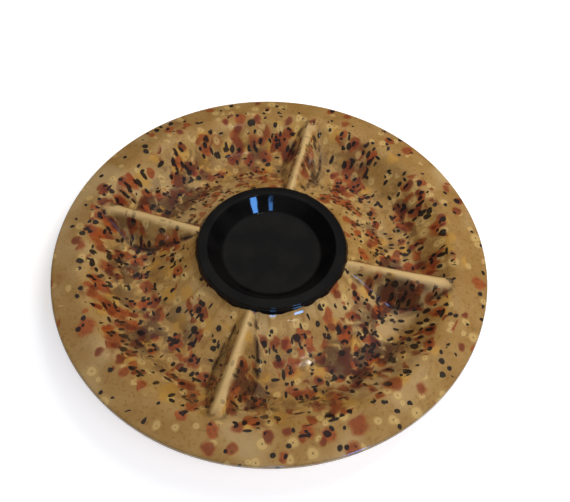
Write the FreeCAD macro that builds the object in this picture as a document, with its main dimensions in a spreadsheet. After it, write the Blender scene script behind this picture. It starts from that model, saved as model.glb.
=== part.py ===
"""Chip and dip server in glazed earthenware.

A round slip-cast tray with a ring-shaped trough for the chips, parted by four tent-shaped
ribs, and a small dip bowl that drops into a cup at the top of the tray's central cone.

Lengths are in millimetres and angles in degrees. +Z is up, the tray stands on Z = 0 with its
centre on the Z axis, and the ribs lie along X and Y.
"""
import FreeCAD
import Part
import Sketcher
import os
import re

SIZES = {
    # the tray as a whole
    "plate_diameter": 340.0,     # across the brim
    "clay_wall": 5.5,            # even wall that slip casting leaves
    "foot_height": 4.0,
    "foot_width": 6.0,           # of the ring's flat underside
    "foot_draft": 15.0,          # the foot ring narrows downwards
    # trough and brim
    "cone_rise": 26.0,           # collar above the trough's floor
    "floor_width": 17.0,         # trough's floor, from the cone's foot to the outer slope's
    "brim_rise": 30.2,           # brim's crest corner above the trough's floor
    "slope_angle": 48.5,         # outer slope of the trough above level
    "brim_width": 25.5,          # from the crest corner out to the edge
    "brim_fall": 8.5,            # the brim droops towards its edge
    "trough_round": 19.0,        # between the trough's floor and its two slopes
    "brim_round": 14.0,          # roll from the slope over to the brim
    "rim_round": 2.5,            # rounding of the plate's edge
    # collar and cup that take the bowl
    "collar_width": 5.0,         # flat top of the collar, on which the bowl's lip sits
    "cup_round": 6.0,            # between the cup's wall and floor
    # ribs
    "rib_count": 4.0,
    "rib_drop": 0.8,             # ridge below the collar's top, where it leaves the cone
    "rib_tilt": 2.2,             # the ridge climbs outwards
    "ridge_width_inner": 5.6,    # at the collar
    "ridge_width_outer": 9.0,    # at the brim
    "rib_draft": 25.0,           # flanks off upright
    "ridge_round": 2.0,
    "root_rise": 4.5,            # height above the trough's floor where a flank turns into its skirt
    "root_draft": 58.0,          # skirts off upright
    "root_round": 9.0,           # between flank and skirt
    "ridge_solid": 10.0,         # clay above the hollow under a rib
    # dip bowl
    "well_mouth": 102.0,         # inside diameter at the lip
    "well_depth": 14.5,
    "well_draft": 28.0,          # wall off upright
    "well_round": 8.0,
    "bowl_wall": 4.0,
    "lip_overlap": 4.0,          # how far the lip reaches out over the collar
    "lip_thickness": 2.8,
    "lip_fall": 1.5,             # the lip's top slopes outwards
    "lip_round": 1.3,
    "bowl_foot_height": 1.4,
    "bowl_foot_width": 4.0,
    "seat_gap": 0.3,             # lip to collar
    "cup_gap": 0.8,              # bowl's wall to the cup's wall
    "floor_gap": 0.6,            # bowl's foot to the cup's floor
}

doc = FreeCAD.newDocument("chip_and_dip_server")


def make_sheet():
    """Write every driving size into the spreadsheet, one aliased cell each."""
    sheet = doc.addObject("Spreadsheet::Sheet", "Sizes")
    for row, (name, value) in enumerate(SIZES.items(), start=1):
        sheet.set(f"A{row}", name)
        sheet.set(f"B{row}", str(value))
        sheet.setAlias(f"B{row}", name)
    doc.recompute()
    return sheet


sheet = make_sheet()


def bound(formula):
    """The formula with every size name turned into a reference to its cell."""
    return re.sub(r"[a-z]+(_[a-z]+)+", lambda word: "Sizes." + word.group(), formula)


def number(formula):
    """What the formula comes to with the sheet's present values."""
    return float(sheet.evalExpression(formula))


# Places that follow from the sizes, as formulas. Radii are measured from the Z axis.
PLATE_R = "(plate_diameter / 2)"
FLOOR_TOP = "(foot_height + clay_wall)"
COLLAR_TOP = f"({FLOOR_TOP} + cone_rise)"
BRIM_TOP = f"({FLOOR_TOP} + brim_rise)"
BRIM_R = f"({PLATE_R} - brim_width)"
SLOPE_FOOT_R = f"({BRIM_R} - brim_rise / tan(slope_angle))"

LIP_SEAT = f"({COLLAR_TOP} + seat_gap)"
LIP_TOP = f"({LIP_SEAT} + lip_thickness)"
MOUTH_R = "(well_mouth / 2)"
WELL_FLOOR = f"({LIP_TOP} - well_depth)"
WELL_FLOOR_R = f"({MOUTH_R} - well_depth * tan(well_draft))"
BOWL_UNDER = f"({WELL_FLOOR} - bowl_wall)"
BOWL_FOOT = f"({BOWL_UNDER} - bowl_foot_height)"
BOWL_OUT_R = f"({MOUTH_R} + bowl_wall / cos(well_draft) - lip_thickness * tan(well_draft))"
BOWL_UNDER_R = f"({WELL_FLOOR_R} + bowl_wall * tan(45 - well_draft / 2))"

CUP_FLOOR = f"({BOWL_FOOT} - floor_gap)"
CUP_R = f"({BOWL_OUT_R} + cup_gap)"
CUP_FLOOR_R = f"({CUP_R} - ({COLLAR_TOP} - {CUP_FLOOR}) * tan(well_draft))"
COLLAR_R = f"({CUP_R} + collar_width)"
CONE_FOOT_R = f"({SLOPE_FOOT_R} - floor_width)"
CONE_ANGLE = f"atan(cone_rise / ({CONE_FOOT_R} - {COLLAR_R}))"
LIP_R = f"({CUP_R} + lip_overlap)"


def origin_plane(body, role):
    """The body's own origin plane or axis with this role."""
    for feature in body.Origin.OriginFeatures:
        if feature.Role == role:
            return feature
    raise ValueError(role)


def new_body(name):
    body = doc.addObject("PartDesign::Body", name)
    body.Label = name
    return body


def new_sketch(body, name, role):
    sketch = body.newObject("Sketcher::SketchObject", name)
    sketch.AttachmentSupport = [(origin_plane(body, role), "")]
    sketch.MapMode = "FlatFace"
    return sketch


def draw_loop(sketch, corners):
    """Draw a closed outline through corners, each two formulas and, where it is rounded, a third.

    Each corner stays in the sketch as a point tied to the sheet, and each rounding is an arc
    tangent to the two lines that meet there.
    """
    points = [FreeCAD.Vector(number(x), number(y), 0) for x, y, *_ in corners]
    count = len(points)
    for index in range(count):
        line = Part.LineSegment(points[index], points[(index + 1) % count])
        sketch.addGeometry(line, False)
    for index in range(count):
        sketch.addConstraint(Sketcher.Constraint("Coincident", index, 2, (index + 1) % count, 1))
    for index, point in enumerate(points):
        for kind, letter, place in (("DistanceX", "x", point.x), ("DistanceY", "y", point.y)):
            constraint = Sketcher.Constraint(kind, -1, 1, index, 1, place)
            sketch.renameConstraint(sketch.addConstraint(constraint), f"{letter}{index}")
    for index, radius in [(i, corner[2]) for i, corner in enumerate(corners) if len(corner) > 2]:
        arc = sketch.GeometryCount
        sketch.fillet(index, 1, number(radius), True, True)
        constraint = Sketcher.Constraint("Radius", arc, number(radius))
        sketch.renameConstraint(sketch.addConstraint(constraint), f"round{index}")
        sketch.setExpression(f"Constraints.round{index}", bound(radius))
    for index, (x, y, *_) in enumerate(corners):
        sketch.setExpression(f"Constraints.x{index}", bound(x))
        sketch.setExpression(f"Constraints.y{index}", bound(y))


def revolve(body, name, sketch, kind):
    """Turn a half profile, drawn on the XZ plane, once round the Z axis."""
    feature = body.newObject(kind, name)
    feature.Profile = sketch
    feature.ReferenceAxis = (origin_plane(body, "Z_Axis"), [""])
    feature.Angle = 360.0
    doc.recompute()
    return feature


def repeat_round(body, name, originals=()):
    """Repeat features, or the whole body so far, once for each rib."""
    pattern = body.newObject("PartDesign::PolarPattern", name)
    if originals:
        pattern.Originals = list(originals)
    else:
        pattern.TransformMode = "Whole shape"
    pattern.Axis = (origin_plane(body, "Z_Axis"), [""])
    pattern.Angle = 360.0
    pattern.setExpression("Occurrences", bound("rib_count"))
    body.Tip = pattern
    doc.recompute()
    return pattern


# The skin's underside: each corner of the upper side moved in by the wall.
SLOPE_TURN = "((slope_angle + brim_fall) / 2)"
CONE_UNDER_R = f"({CONE_FOOT_R} - clay_wall * tan({CONE_ANGLE} / 2))"
SLOPE_UNDER_R = f"({SLOPE_FOOT_R} + clay_wall * tan(slope_angle / 2))"
BRIM_UNDER_R = f"({BRIM_R} + clay_wall * sin((slope_angle - brim_fall) / 2) / cos{SLOPE_TURN})"
BRIM_UNDER = f"({BRIM_TOP} - clay_wall * cos((slope_angle - brim_fall) / 2) / cos{SLOPE_TURN})"
RIM_TOP = f"({BRIM_TOP} - brim_width * tan(brim_fall))"
RIM_UNDER = f"({RIM_TOP} - clay_wall / cos(brim_fall))"
CUP_UNDER = f"({CUP_FLOOR} - clay_wall)"
CUP_UNDER_R = f"({CUP_FLOOR_R} + clay_wall * tan(45 - well_draft / 2))"
CUP_LEAN = "tan(well_draft)"
CONE_FALL = f"tan({CONE_ANGLE})"
APEX_R = (f"(({CUP_UNDER_R} + (foot_height + {CONE_UNDER_R} * {CONE_FALL} - {CUP_UNDER})"
          f" * {CUP_LEAN}) / (1 + {CONE_FALL} * {CUP_LEAN}))")
APEX = f"(foot_height + ({CONE_UNDER_R} - {APEX_R}) * {CONE_FALL})"
FOOT_FLARE = "(foot_height * tan(foot_draft))"
FOOT_MID_R = f"(({CONE_FOOT_R} + {SLOPE_FOOT_R}) / 2)"

# How far the clearing cut for the ribs reaches past the tray.
BEYOND = "plate_diameter"

# Two roundings that share a flat may take up this much of it, and are limited by that.
SHARED = 0.95
RIM_ROUND = f"min(rim_round; {SHARED} * clay_wall / 2)"
LIP_ROUND = f"min(lip_round; {SHARED} * (lip_thickness - lip_fall))"
FLOOR_TURNS = f"(tan({CONE_ANGLE} / 2) + tan(slope_angle / 2))"
TROUGH_ROUND = f"min(trough_round; {SHARED} * floor_width / {FLOOR_TURNS})"


def draw_blank(sketch):
    """Half section of the tray's outside, brim and foot ring, still solid under the cone."""
    foot_out = f"{FOOT_MID_R} + foot_width / 2"
    foot_in = f"{FOOT_MID_R} - foot_width / 2"
    corners = [
        ("0", COLLAR_TOP),
        (COLLAR_R, COLLAR_TOP),
        (CONE_FOOT_R, FLOOR_TOP, TROUGH_ROUND),
        (SLOPE_FOOT_R, FLOOR_TOP, TROUGH_ROUND),
        (BRIM_R, BRIM_TOP, "brim_round"),
        (PLATE_R, RIM_TOP, RIM_ROUND),
        (PLATE_R, RIM_UNDER, RIM_ROUND),
        (BRIM_UNDER_R, BRIM_UNDER, "brim_round - clay_wall"),
        (SLOPE_UNDER_R, "foot_height"),
        (f"{foot_out} + {FOOT_FLARE}", "foot_height"),
        (foot_out, "0"),
        (foot_in, "0"),
        (f"{foot_in} - {FOOT_FLARE}", "foot_height"),
        ("0", "foot_height"),
    ]
    draw_loop(sketch, corners)


def draw_cup_space(sketch):
    """Half section of the cup's inside, carried on above the collar."""
    corners = [
        ("0", CUP_FLOOR),
        (CUP_FLOOR_R, CUP_FLOOR, "cup_round"),
        (f"{CUP_R} + clay_wall * {CUP_LEAN}", f"{COLLAR_TOP} + clay_wall"),
        ("0", f"{COLLAR_TOP} + clay_wall"),
    ]
    draw_loop(sketch, corners)


def draw_underside(sketch):
    """Half section of the space under the cone and the cup, open downwards."""
    mouth_r = f"({CONE_UNDER_R} + foot_height / 2)"
    corners = [
        ("0", CUP_UNDER),
        (CUP_UNDER_R, CUP_UNDER),
        (APEX_R, APEX),
        (mouth_r, f"foot_height * (1 - {CONE_FALL} / 2)"),
        (mouth_r, "-foot_height"),
        ("0", "-foot_height"),
    ]
    draw_loop(sketch, corners)


def draw_clearing(sketch):
    """Everything below the middle of the floor, slope and brim, that a rib may not fill."""
    half = "(clay_wall / 2)"
    corners = [
        ("0", f"{FLOOR_TOP} - {half}"),
        (f"{SLOPE_FOOT_R} + {half} * tan(slope_angle / 2)", f"{FLOOR_TOP} - {half}"),
        (f"({BRIM_R} + {BRIM_UNDER_R}) / 2", f"({BRIM_TOP} + {BRIM_UNDER}) / 2"),
        (PLATE_R, f"({RIM_TOP} + {RIM_UNDER}) / 2"),
        (BEYOND, f"({RIM_TOP} + {RIM_UNDER}) / 2"),
        (BEYOND, f"-{BEYOND}"),
        ("0", f"-{BEYOND}"),
    ]
    draw_loop(sketch, corners)


def tilt(sketch, height):
    """Lay a sketch parallel to the ridges: on the X axis it climbs outwards by rib_tilt."""
    climb = FreeCAD.Rotation(FreeCAD.Vector(0, 1, 0), 1)
    sketch.AttachmentOffset = FreeCAD.Placement(FreeCAD.Vector(), climb)
    sketch.setExpression("AttachmentOffset.Base.z", bound(height))
    sketch.setExpression("AttachmentOffset.Rotation.Angle", bound("-rib_tilt"))


def draw_rib_plan(sketch, start, end, width_start, width_end):
    """A rib seen from above: a long wedge along X that widens outwards."""
    corners = [
        (start, f"-({width_start}) / 2"),
        (end, f"-({width_end}) / 2"),
        (end, f"({width_end}) / 2"),
        (start, f"({width_start}) / 2"),
    ]
    draw_loop(sketch, corners)


def tapered(body, name, kind, sketch, depth, draft):
    """Pad or pocket downwards from a sketch, widening by draft on every side."""
    feature = body.newObject(kind, name)
    feature.Profile = sketch
    feature.Reversed = kind == "PartDesign::Pad"
    feature.setExpression("Length", bound(depth))
    feature.setExpression("TaperAngle", bound(draft))
    doc.recompute()
    return feature


def fillet(body, name, base, edges, radius):
    feature = body.newObject("PartDesign::Fillet", name)
    feature.Base = (base, edges)
    feature.setExpression("Radius", bound(radius))
    doc.recompute()
    return feature


RIB_DEPTH = f"({COLLAR_TOP} + clay_wall)"
RIDGE_AT_AXIS = f"({COLLAR_TOP} - rib_drop - {COLLAR_R} * tan(rib_tilt))"
RIB_END_R = f"({BRIM_R} + brim_round / 2)"
HOLLOW_START_R = f"({COLLAR_R} + ridge_solid + clay_wall)"
HOLLOW_END_R = f"({BRIM_R} - clay_wall)"
HOLLOW_NARROWING = "(2 * (clay_wall / cos(rib_draft) - ridge_solid * tan(rib_draft)))"

# The skirts spread from the flanks at ROOT_DEPTH below the ridge. Their plan lies root_rise
# higher, inside the rib, and its two ends lie inside the skin.
ROOT_DEPTH = f"({RIDGE_AT_AXIS} + {FOOT_MID_R} * tan(rib_tilt) - {FLOOR_TOP} - root_rise)"
SKIRT_DEPTH = f"({ROOT_DEPTH} - root_rise)"
SKIRT_START_R = f"({CONE_FOOT_R} - 2 * root_rise / tan({CONE_ANGLE}) - clay_wall / sin({CONE_ANGLE}))"
SKIRT_END_R = f"({SLOPE_FOOT_R} + 2 * root_rise / tan(slope_angle) + clay_wall / sin(slope_angle))"
SKIRT_WIDENING = f"(2 * ({ROOT_DEPTH} * tan(rib_draft) - root_rise * tan(root_draft)))"


def ridge_width(radius):
    """Formula for the width of a ridge's flat top, before its edges are rounded."""
    return f"(ridge_width_inner + (ridge_width_outer - ridge_width_inner) * {radius} / {RIB_END_R})"


def edges_below_ridge(shape, depth):
    """Names of the long edges that run outwards at this depth below the ridge, to within a wall."""
    def wanted(edge):
        ends = [vertex.Point for vertex in edge.Vertexes]
        length = max(end.x for end in ends) - min(end.x for end in ends)
        drops = [number(f"{RIDGE_AT_AXIS} + {end.x} * tan(rib_tilt)") - end.z for end in ends]
        near = all(abs(drop - depth) < number("clay_wall / 2") for drop in drops)
        return near and length > number(f"{SLOPE_FOOT_R} - {CONE_FOOT_R}")
    return [f"Edge{n}" for n, edge in enumerate(shape.Edges, start=1) if wanted(edge)]


def turned(body, name, draw, kind):
    """Draw a half section on the XZ plane and turn it round Z, as clay added or cut away."""
    sketch = new_sketch(body, f"{name}_section", "XZ_Plane")
    draw(sketch)
    return revolve(body, name, sketch, kind)


def make_tray():
    """Ribs with skirts at their feet, the turned tray round them, then its cup and hollows."""
    body = new_body("tray")
    body.AllowCompound = True

    plan = new_sketch(body, "rib_plan", "XY_Plane")
    draw_rib_plan(plan, "0", RIB_END_R, ridge_width("0"), ridge_width(RIB_END_R))
    tilt(plan, RIDGE_AT_AXIS)
    tapered(body, "rib_blank", "PartDesign::Pad", plan, RIB_DEPTH, "rib_draft")

    skirt_plan = new_sketch(body, "skirt_plan", "XY_Plane")
    draw_rib_plan(skirt_plan, SKIRT_START_R, SKIRT_END_R,
                  f"{ridge_width(SKIRT_START_R)} + {SKIRT_WIDENING}",
                  f"{ridge_width(SKIRT_END_R)} + {SKIRT_WIDENING}")
    tilt(skirt_plan, f"{RIDGE_AT_AXIS} - {SKIRT_DEPTH}")
    rib = tapered(body, "rib_skirt", "PartDesign::Pad", skirt_plan, RIB_DEPTH, "root_draft")

    ridge = fillet(body, "ridge_edges", rib, edges_below_ridge(rib.Shape, 0), "ridge_round")
    roots = edges_below_ridge(ridge.Shape, number(ROOT_DEPTH))
    fillet(body, "root_edges", ridge, roots, "root_round")
    repeat_round(body, "ribs")

    turned(body, "rib_clearing", draw_clearing, "PartDesign::Groove")
    turned(body, "blank", draw_blank, "PartDesign::Revolution")
    turned(body, "cup", draw_cup_space, "PartDesign::Groove")
    turned(body, "underside", draw_underside, "PartDesign::Groove")

    hollow_plan = new_sketch(body, "hollow_plan", "XY_Plane")
    draw_rib_plan(hollow_plan, HOLLOW_START_R, HOLLOW_END_R,
                  f"ridge_width_inner - {HOLLOW_NARROWING}", f"ridge_width_outer - {HOLLOW_NARROWING}")
    tilt(hollow_plan, f"{RIDGE_AT_AXIS} - ridge_solid")
    hollow = tapered(body, "rib_hollow", "PartDesign::Pocket", hollow_plan, RIB_DEPTH, "rib_draft")
    repeat_round(body, "rib_hollows", [hollow])
    return body


def draw_bowl(sketch):
    """Half section of the dip bowl: well, rolled lip, leaning wall and a low foot."""
    foot_out = f"({BOWL_UNDER_R} - cup_round / 2)"
    corners = [
        ("0", WELL_FLOOR),
        (WELL_FLOOR_R, WELL_FLOOR, "well_round"),
        (MOUTH_R, LIP_TOP, LIP_ROUND),
        (LIP_R, f"{LIP_TOP} - lip_fall", LIP_ROUND),
        (LIP_R, LIP_SEAT),
        (BOWL_OUT_R, LIP_SEAT),
        (BOWL_UNDER_R, BOWL_UNDER),
        (foot_out, BOWL_UNDER),
        (foot_out, BOWL_FOOT),
        (f"{foot_out} - bowl_foot_width", BOWL_FOOT),
        (f"{foot_out} - bowl_foot_width", BOWL_UNDER),
        ("0", BOWL_UNDER),
    ]
    draw_loop(sketch, corners)


def make_bowl():
    """The dip bowl, turned in one piece."""
    body = new_body("dip_bowl")
    turned(body, "bowl", draw_bowl, "PartDesign::Revolution")
    return body


def check(bodies):
    """Stop if anything in the document failed or a piece isn't one sound solid."""
    for item in doc.Objects:
        if "Invalid" in item.State or "Error" in item.State:
            raise RuntimeError(f"{item.Name} failed: {item.getStatusString()}")
    for body in bodies:
        shape = body.Shape
        if shape.isNull() or not shape.isValid() or len(shape.Solids) != 1:
            raise RuntimeError(f"{body.Label} isn't one sound solid")


def main():
    bodies = [make_tray(), make_bowl()]
    doc.recompute()
    check(bodies)
    os.makedirs("parts", exist_ok=True)
    for body in bodies:
        box = body.Shape.optimalBoundingBox(False)
        print(f"{body.Label}: {body.Shape.Volume / 1000:.1f} cm3, {box.XLength:.1f} x"
              f" {box.YLength:.1f} x {box.ZLength:.1f} mm, from Z {box.ZMin:.2f}")
        body.Shape.exportStep(f"parts/{body.Label}.step")


main()
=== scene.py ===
# %% [markdown]
# # A chip and dip server in glazed earthenware
#
# The real object is two glazed pieces: a round slip-cast tray with four tent-shaped ribs, and a
# small black dip bowl that sits in the cup at the middle. This lesson builds both as smooth
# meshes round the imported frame, then spends most of its time on the glaze, because that is what
# the eye sees first: honey glaze sprinkled with chips of red, brown and black glaze.

# %% The frame
import math

import bpy
from mathutils import Matrix, Vector


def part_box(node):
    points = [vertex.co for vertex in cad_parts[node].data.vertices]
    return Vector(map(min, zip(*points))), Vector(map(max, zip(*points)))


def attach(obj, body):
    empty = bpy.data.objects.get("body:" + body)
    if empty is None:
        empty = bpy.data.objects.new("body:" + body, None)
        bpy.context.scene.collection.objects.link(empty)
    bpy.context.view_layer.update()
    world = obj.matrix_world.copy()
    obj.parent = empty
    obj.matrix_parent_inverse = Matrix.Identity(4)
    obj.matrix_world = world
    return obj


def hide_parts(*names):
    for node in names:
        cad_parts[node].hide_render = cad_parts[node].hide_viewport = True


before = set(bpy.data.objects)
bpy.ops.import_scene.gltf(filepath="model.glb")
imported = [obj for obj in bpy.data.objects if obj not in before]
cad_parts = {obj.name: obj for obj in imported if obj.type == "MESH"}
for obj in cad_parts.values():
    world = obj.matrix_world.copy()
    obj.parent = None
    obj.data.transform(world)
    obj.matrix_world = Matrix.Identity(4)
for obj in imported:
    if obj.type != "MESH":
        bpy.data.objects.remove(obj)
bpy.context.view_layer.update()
MM = 0.001

# %% [markdown]
# ## Sizes
#
# Both pieces are round about one axis, so nearly every size is a radius or a height. The
# outermost ones are read from the frame, and the rest are the potter's own: where the cone
# starts, how wide the trough's floor is, how far the brim droops.

# %% Sizes from the frame, and the potter's own
_, tray_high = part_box("tray")
bowl_low, bowl_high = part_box("dip_bowl")
PLATE_R = tray_high.x - 0.1 * MM
LIP_R = bowl_high.x
LIP_TOP = bowl_high.z
BOWL_FOOT = bowl_low.z

WALL = 5.5 * MM
FOOT_HEIGHT = 4 * MM
FLOOR_TOP = FOOT_HEIGHT + WALL
COLLAR_TOP = FLOOR_TOP + 26 * MM
COLLAR_R = LIP_R + 1 * MM
CUP_R = COLLAR_R - 5 * MM
BRIM_WIDTH = 25.5 * MM
BRIM_R = PLATE_R - BRIM_WIDTH
BRIM_TOP = tray_high.z + 0.88 * MM
SLOPE = math.radians(48.5)
BRIM_FALL = math.radians(8.5)
SLOPE_RISE = 30.2 * MM
SLOPE_FOOT_R = BRIM_R - SLOPE_RISE / math.tan(SLOPE)
FLOOR_WIDTH = 17 * MM
CONE_FOOT_R = SLOPE_FOOT_R - FLOOR_WIDTH
CONE_FALL = (COLLAR_TOP - FLOOR_TOP) / (CONE_FOOT_R - COLLAR_R)
print(f"plate {2 * PLATE_R / MM:.1f} mm, lip {2 * LIP_R / MM:.1f} mm")
print(f"lip top {LIP_TOP / MM:.1f} mm, brim top {BRIM_TOP / MM:.1f} mm")

# %% [markdown]
# ## Outlines with soft corners
#
# Clay has no sharp corners, and glaze rounds what is left. So each section is a short list of
# corners, and every corner carries the radius that its glaze leaves. A helper turns a corner
# into an arc that is tangent to both its sides, then walks the outline in even steps.

# %% A helper that rounds corners
SAME_PLACE = 1 / 50  # points nearer than this share of a step count as one


def rounded(corners, step):
    """Points along an outline given as (r, z, rounding), with corners rounded, step apart."""
    places = [Vector((r, z)) for r, z, _ in corners]
    path = [places[0]]
    for before, here, after, corner in zip(places, places[1:], places[2:], corners[1:]):
        back, ahead = (before - here).normalized(), (after - here).normalized()
        half = back.angle(ahead) / 2
        reach = corner[2] / math.tan(half)
        middle = here + (back + ahead).normalized() * corner[2] / math.sin(half)
        start, end = here + back * reach - middle, here + ahead * reach - middle
        count = max(2, math.ceil(corner[2] * (math.pi - 2 * half) / step))
        turn = start.angle_signed(end)
        for k in range(count + 1):
            path.append(middle + Matrix.Rotation(-turn * k / count, 2) @ start)
    path.append(places[-1])
    even = [path[0]]
    for before, here in zip(path, path[1:]):
        count = max(1, round((here - before).length / step))
        even += [before.lerp(here, k / count) for k in range(1, count + 1)]
    return [p for p, q in zip(even, even[1:] + [None])
            if q is None or (p - q).length > step * SAME_PLACE]


demo = rounded([(0, 0, 0), (10 * MM, 0, 4 * MM), (10 * MM, 10 * MM, 0)], MM)
print(f"a square corner rounded by 4 mm: {len(demo)} points")


# %% A helper that spins a section into a closed mesh
def spin(name, section, directions):
    """A closed mesh from a section that starts and ends on the axis.

    directions(r) gives the angles at radius r, so that columns can run along straight ribs.
    """
    verts = [(0, 0, section[0].y)]
    columns = len(directions(PLATE_R))
    for point in section[1:-1]:
        verts += [(point.x * math.cos(angle), point.x * math.sin(angle), point.y)
                  for angle in directions(point.x)]
    verts.append((0, 0, section[-1].y))
    last_ring = len(verts) - 1 - columns
    faces = []
    for here in range(columns):
        beside = (here + 1) % columns
        faces.append((0, 1 + here, 1 + beside))
        faces.append((len(verts) - 1, last_ring + beside, last_ring + here))
        for ring in range(1, last_ring, columns):
            after = ring + columns
            faces.append((ring + here, after + here, after + beside, ring + beside))
    mesh = bpy.data.meshes.new(name)
    mesh.from_pydata(verts, [], faces)
    mesh.shade_smooth()
    piece = bpy.data.objects.new(name, mesh)
    bpy.context.scene.collection.objects.link(piece)
    print(f"{name}: {len(verts)} points, {len(faces)} faces")
    return piece


# %% [markdown]
# ## The tray's skin
#
# The tray is slip-cast, so its wall is even and the underside follows the top. Its section runs
# from the cup's floor, up over the collar, down the cone, along the trough, up to the brim,
# round the edge, and back underneath past the foot ring. The columns of the mesh are bunched
# beside each rib and run parallel to it, because a ridge that crosses the columns at a slant
# comes out with teeth.

# %% The tray's section
UPPER_STEP = 1.3 * MM
UNDER_STEP = 2.2 * MM
CUP_DEGREES = 28
CUP_LEAN = math.tan(math.radians(CUP_DEGREES))
CUP_MITRE = math.tan(math.radians(45 - CUP_DEGREES / 2))
CUP_FLOOR = BOWL_FOOT - 0.6 * MM
CUP_FLOOR_R = CUP_R - (COLLAR_TOP - CUP_FLOOR) * CUP_LEAN
RIM_TOP = BRIM_TOP - BRIM_WIDTH * math.tan(BRIM_FALL)
RIM_UNDER = RIM_TOP - WALL / math.cos(BRIM_FALL)
RIM_MIDDLE = (RIM_TOP + RIM_UNDER) / 2
HALF_TURN = (SLOPE - BRIM_FALL) / 2
BRIM_MITRE = WALL / math.cos((SLOPE + BRIM_FALL) / 2)
BRIM_UNDER_R = BRIM_R + BRIM_MITRE * math.sin(HALF_TURN)
BRIM_UNDER = BRIM_TOP - BRIM_MITRE * math.cos(HALF_TURN)
CONE_UNDER_R = CONE_FOOT_R - WALL * math.tan(math.atan(CONE_FALL) / 2)
CUP_UNDER = CUP_FLOOR - WALL
CUP_UNDER_R = CUP_FLOOR_R + WALL * CUP_MITRE
APEX_R = (CUP_UNDER_R + (FOOT_HEIGHT + CONE_UNDER_R * CONE_FALL - CUP_UNDER) * CUP_LEAN) / (
    1 + CONE_FALL * CUP_LEAN)
APEX = FOOT_HEIGHT + (CONE_UNDER_R - APEX_R) * CONE_FALL
FOOT_R = (CONE_FOOT_R + SLOPE_FOOT_R) / 2

upper = rounded([
    (0, CUP_FLOOR, 0),
    (CUP_FLOOR_R, CUP_FLOOR, 6 * MM),
    (CUP_R, COLLAR_TOP, 1 * MM),
    (COLLAR_R - 0.6 * MM, COLLAR_TOP, 1.2 * MM),
    (COLLAR_R + 2.4 * MM, COLLAR_TOP - 5.0 * MM, 17 * MM),
    (CONE_FOOT_R, FLOOR_TOP, 19 * MM),
    (SLOPE_FOOT_R, FLOOR_TOP, 19 * MM),
    (BRIM_R, BRIM_TOP, 14 * MM),
    (PLATE_R, RIM_TOP, 2.6 * MM),
    (PLATE_R, RIM_MIDDLE, 0),
], UPPER_STEP)
under = rounded([
    (PLATE_R, RIM_MIDDLE, 0),
    (PLATE_R, RIM_UNDER, 2.6 * MM),
    (BRIM_UNDER_R, BRIM_UNDER, 8.5 * MM),
    (SLOPE_FOOT_R + WALL * math.tan(SLOPE / 2), FOOT_HEIGHT, 6 * MM),
    (FOOT_R + 4.1 * MM, FOOT_HEIGHT, 0.4 * MM),
    (FOOT_R + 3 * MM, 0, 0.6 * MM),
    (FOOT_R - 3 * MM, 0, 0.6 * MM),
    (FOOT_R - 4.1 * MM, FOOT_HEIGHT, 0.4 * MM),
    (CONE_UNDER_R, FOOT_HEIGHT, 6 * MM),
    (APEX_R, APEX, 5 * MM),
    (CUP_UNDER_R, CUP_UNDER, 8 * MM),
    (0, CUP_UNDER, 0),
], UNDER_STEP)
print(f"tray section: {len(upper)} points above, {len(under)} below")

# %% Columns that run along the ribs
RIB_COUNT = 4
LANE = 21 * MM
LANE_LINES = 27
LANE_CROWDING = 1.35
SPREAD_LINES = 17


def tray_directions(radius):
    """Angles of the mesh's columns at this radius: parallel lanes by the ribs, then a fan."""
    sector = 2 * math.pi / RIB_COUNT
    lane_edge = math.asin(min(LANE / max(radius, COLLAR_R), 1))
    lanes = [LANE * (k / LANE_LINES) ** LANE_CROWDING for k in range(LANE_LINES + 1)]
    side = [math.asin(y / max(radius, COLLAR_R)) for y in lanes]
    side += [lane_edge + (sector / 2 - lane_edge) * k / SPREAD_LINES
             for k in range(1, SPREAD_LINES + 1)]
    angles = [-angle for angle in side[-2:0:-1]] + side
    return [rib * sector + angle for rib in range(RIB_COUNT) for angle in angles]


tray = spin("tray_skin", upper + under[1:], tray_directions)
side_mark = tray.data.attributes.new("upper", "FLOAT", "POINT")
upper_points = 1 + (len(upper) - 1) * len(tray_directions(PLATE_R))
side_mark.data.foreach_set("value", [float(k < upper_points)
                                     for k in range(len(tray.data.vertices))])

# %% [markdown]
# ## Ribs by rule
#
# The four ribs are one shape repeated, and that shape follows a rule: a ridge that climbs a
# little outwards, flanks that lean by 25 degrees, and soft roots where the slip has gathered.
# Geometry Nodes says this once. For each point it works out the place along and aside of the
# nearest rib, the rib's height there, and a smooth maximum of that height and the skin's. The
# softness of the maximum is the root's rounding. The same tree, with its own sizes, hollows the
# underside. It leaves marks for the glaze: "crest" on the ridges, "root" along the soft roots,
# and "valley" on the thin line where flank and skin meet.

# %% Small helpers for node trees
def feed(tree, socket, value):
    """Link an input to another node's output, or give it a constant."""
    if isinstance(value, bpy.types.NodeSocket):
        tree.links.new(value, socket)
    else:
        socket.default_value = value


def maths(tree, operation, *values):
    """A Math node on sockets or numbers; gives its output socket."""
    node = tree.nodes.new("ShaderNodeMath")
    node.operation = operation
    for socket, value in zip(node.inputs, values):
        feed(tree, socket, value)
    return node.outputs[0]


def times(tree, *values):
    """The product of sockets or numbers."""
    product = values[0]
    for value in values[1:]:
        product = maths(tree, "MULTIPLY", product, value)
    return product


def minus(tree, first, second):
    """The first less the second."""
    return maths(tree, "SUBTRACT", first, second)


def hypotenuse(tree, x, y):
    """The length of the flat vector (x, y)."""
    return maths(tree, "SQRT", maths(tree, "ADD", times(tree, x, x), times(tree, y, y)))


print("helpers:", *(helper.__name__ for helper in (feed, maths, times, minus, hypotenuse)))

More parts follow.
